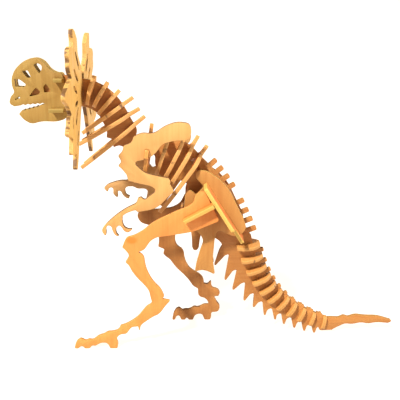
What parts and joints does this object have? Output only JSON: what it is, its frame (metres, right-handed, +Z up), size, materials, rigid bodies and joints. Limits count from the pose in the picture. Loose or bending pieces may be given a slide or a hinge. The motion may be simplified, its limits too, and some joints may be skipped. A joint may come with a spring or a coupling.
{
  "type": "wooden 3d jigsaw model",
  "caption": "Slot-together plywood skeleton of a crested, frilled dinosaur that stands on its feet and the underside of its tail.",
  "frame": {"origin": "middle of the footprint at ground level, under the centre of the bounding box", "axes": "+X towards the tail tip, -X is where the head looks, -Y is the dinosaur's left side, +Z up"},
  "size_m": [0.3194, 0.1252, 0.2612],
  "materials": {
    "wood_head": "satin",
    "wood_frill": "satin",
    "wood_hips": "satin",
    "wood_discs": "satin",
    "wood_ribs": "satin",
    "wood_body": "satin"
  },
  "bodies": {
    "frame": {"backbone": "wood_body", "upper_head_bar": "wood_head", "lower_head_bar": "wood_head", "shoulder_plate": "wood_body", "front_hip_plate": "wood_hips", "rear_hip_plate": "wood_hips", "pelvis_left": "wood_hips", "pelvis_right": "wood_hips"},
    "head_left": {"head_left": "wood_head"},
    "frill_left": {"frill_left": "wood_frill"},
    "arm_left": {"arm_left": "wood_body"},
    "leg_left": {"leg_left": "wood_hips"},
    "head_right": {"head_right": "wood_head"},
    "frill_right": {"frill_right": "wood_frill"},
    "arm_right": {"arm_right": "wood_body"},
    "leg_right": {"leg_right": "wood_hips"},
    "neck_rib_1": {"neck_rib_1": "wood_ribs"},
    "neck_rib_2": {"neck_rib_2": "wood_ribs"},
    "neck_rib_3": {"neck_rib_3": "wood_ribs"},
    "neck_rib_4": {"neck_rib_4": "wood_ribs"},
    "neck_rib_5": {"neck_rib_5": "wood_ribs"},
    "neck_rib_6": {"neck_rib_6": "wood_ribs"},
    "chest_rib_1": {"chest_rib_1": "wood_ribs"},
    "chest_rib_2": {"chest_rib_2": "wood_ribs"},
    "chest_rib_3": {"chest_rib_3": "wood_ribs"},
    "chest_rib_4": {"chest_rib_4": "wood_ribs"},
    "tail_disc_01": {"tail_disc_01": "wood_discs"},
    "tail_disc_02": {"tail_disc_02": "wood_discs"},
    "tail_disc_03": {"tail_disc_03": "wood_discs"},
    "tail_disc_04": {"tail_disc_04": "wood_discs"},
    "tail_disc_05": {"tail_disc_05": "wood_discs"},
    "tail_disc_06": {"tail_disc_06": "wood_discs"},
    "tail_disc_07": {"tail_disc_07": "wood_discs"},
    "tail_disc_08": {"tail_disc_08": "wood_discs"},
    "tail_disc_09": {"tail_disc_09": "wood_discs"},
    "tail_disc_10": {"tail_disc_10": "wood_discs"},
    "tail_disc_11": {"tail_disc_11": "wood_discs"}
  },
  "joints": [
    {"name": "head_left_pull", "type": "slide", "parent": "frame", "child": "head_left", "axis": [0, -1, 0], "range_m": [0, 0.02]},
    {"name": "frill_left_pull", "type": "slide", "parent": "frame", "child": "frill_left", "axis": [0, -1, 0], "range_m": [0, 0.02]},
    {"name": "arm_left_pull", "type": "slide", "parent": "frame", "child": "arm_left", "axis": [0, -1, 0], "range_m": [0, 0.02]},
    {"name": "leg_left_pull", "type": "slide", "parent": "frame", "child": "leg_left", "axis": [0, -1, 0], "range_m": [0, 0.02]},
    {"name": "head_right_pull", "type": "slide", "parent": "frame", "child": "head_right", "axis": [0, 1, 0], "range_m": [0, 0.02]},
    {"name": "frill_right_pull", "type": "slide", "parent": "frame", "child": "frill_right", "axis": [0, 1, 0], "range_m": [0, 0.02]},
    {"name": "arm_right_pull", "type": "slide", "parent": "frame", "child": "arm_right", "axis": [0, 1, 0], "range_m": [0, 0.02]},
    {"name": "leg_right_pull", "type": "slide", "parent": "frame", "child": "leg_right", "axis": [0, 1, 0], "range_m": [0, 0.02]},
    {"name": "neck_rib_1_lift", "type": "slide", "parent": "frame", "child": "neck_rib_1", "axis": [0.2588, 0, 0.9659], "range_m": [0, 0.015]},
    {"name": "neck_rib_2_lift", "type": "slide", "parent": "frame", "child": "neck_rib_2", "axis": [0.5, 0, 0.866], "range_m": [0, 0.015]},
    {"name": "neck_rib_3_lift", "type": "slide", "parent": "frame", "child": "neck_rib_3", "axis": [0.682, 0, 0.7314], "range_m": [0, 0.015]},
    {"name": "neck_rib_4_lift", "type": "slide", "parent": "frame", "child": "neck_rib_4", "axis": [0.829, 0, 0.5592], "range_m": [0, 0.015]},
    {"name": "neck_rib_5_lift", "type": "slide", "parent": "frame", "child": "neck_rib_5", "axis": [0.8704, 0, 0.4924], "range_m": [0, 0.015]},
    {"name": "neck_rib_6_lift", "type": "slide", "parent": "frame", "child": "neck_rib_6", "axis": [0.788, 0, 0.6157], "range_m": [0, 0.015]},
    {"name": "chest_rib_1_lift", "type": "slide", "parent": "frame", "child": "chest_rib_1", "axis": [0.3256, 0, 0.9455], "range_m": [0, 0.015]},
    {"name": "chest_rib_2_lift", "type": "slide", "parent": "frame", "child": "chest_rib_2", "axis": [0.454, 0, 0.891], "range_m": [0, 0.015]},
    {"name": "chest_rib_3_lift", "type": "slide", "parent": "frame", "child": "chest_rib_3", "axis": [0.515, 0, 0.8572], "range_m": [0, 0.015]},
    {"name": "chest_rib_4_lift", "type": "slide", "parent": "frame", "child": "chest_rib_4", "axis": [0.5878, 0, 0.809], "range_m": [0, 0.015]},
    {"name": "tail_disc_01_lift", "type": "slide", "parent": "frame", "child": "tail_disc_01", "axis": [0.9962, 0, 0.0872], "range_m": [0, 0.015]},
    {"name": "tail_disc_02_lift", "type": "slide", "parent": "frame", "child": "tail_disc_02", "axis": [0.9763, 0, 0.2164], "range_m": [0, 0.015]},
    {"name": "tail_disc_03_lift", "type": "slide", "parent": "frame", "child": "tail_disc_03", "axis": [0.9397, 0, 0.342], "range_m": [0, 0.015]},
    {"name": "tail_disc_04_lift", "type": "slide", "parent": "frame", "child": "tail_disc_04", "axis": [0.887, 0, 0.4617], "range_m": [0, 0.015]},
    {"name": "tail_disc_05_lift", "type": "slide", "parent": "frame", "child": "tail_disc_05", "axis": [0.8192, 0, 0.5736], "range_m": [0, 0.015]},
    {"name": "tail_disc_06_lift", "type": "slide", "parent": "frame", "child": "tail_disc_06", "axis": [0.7373, 0, 0.6756], "range_m": [0, 0.015]},
    {"name": "tail_disc_07_lift", "type": "slide", "parent": "frame", "child": "tail_disc_07", "axis": [0.6428, 0, 0.766], "range_m": [0, 0.015]},
    {"name": "tail_disc_08_lift", "type": "slide", "parent": "frame", "child": "tail_disc_08", "axis": [0.5373, 0, 0.8434], "range_m": [0, 0.015]},
    {"name": "tail_disc_09_lift", "type": "slide", "parent": "frame", "child": "tail_disc_09", "axis": [0.4226, 0, 0.9063], "range_m": [0, 0.015]},
    {"name": "tail_disc_10_lift", "type": "slide", "parent": "frame", "child": "tail_disc_10", "axis": [0.3007, 0, 0.9537], "range_m": [0, 0.015]},
    {"name": "tail_disc_11_lift", "type": "slide", "parent": "frame", "child": "tail_disc_11", "axis": [0.1736, 0, 0.9848], "range_m": [0, 0.015]}
  ]
}
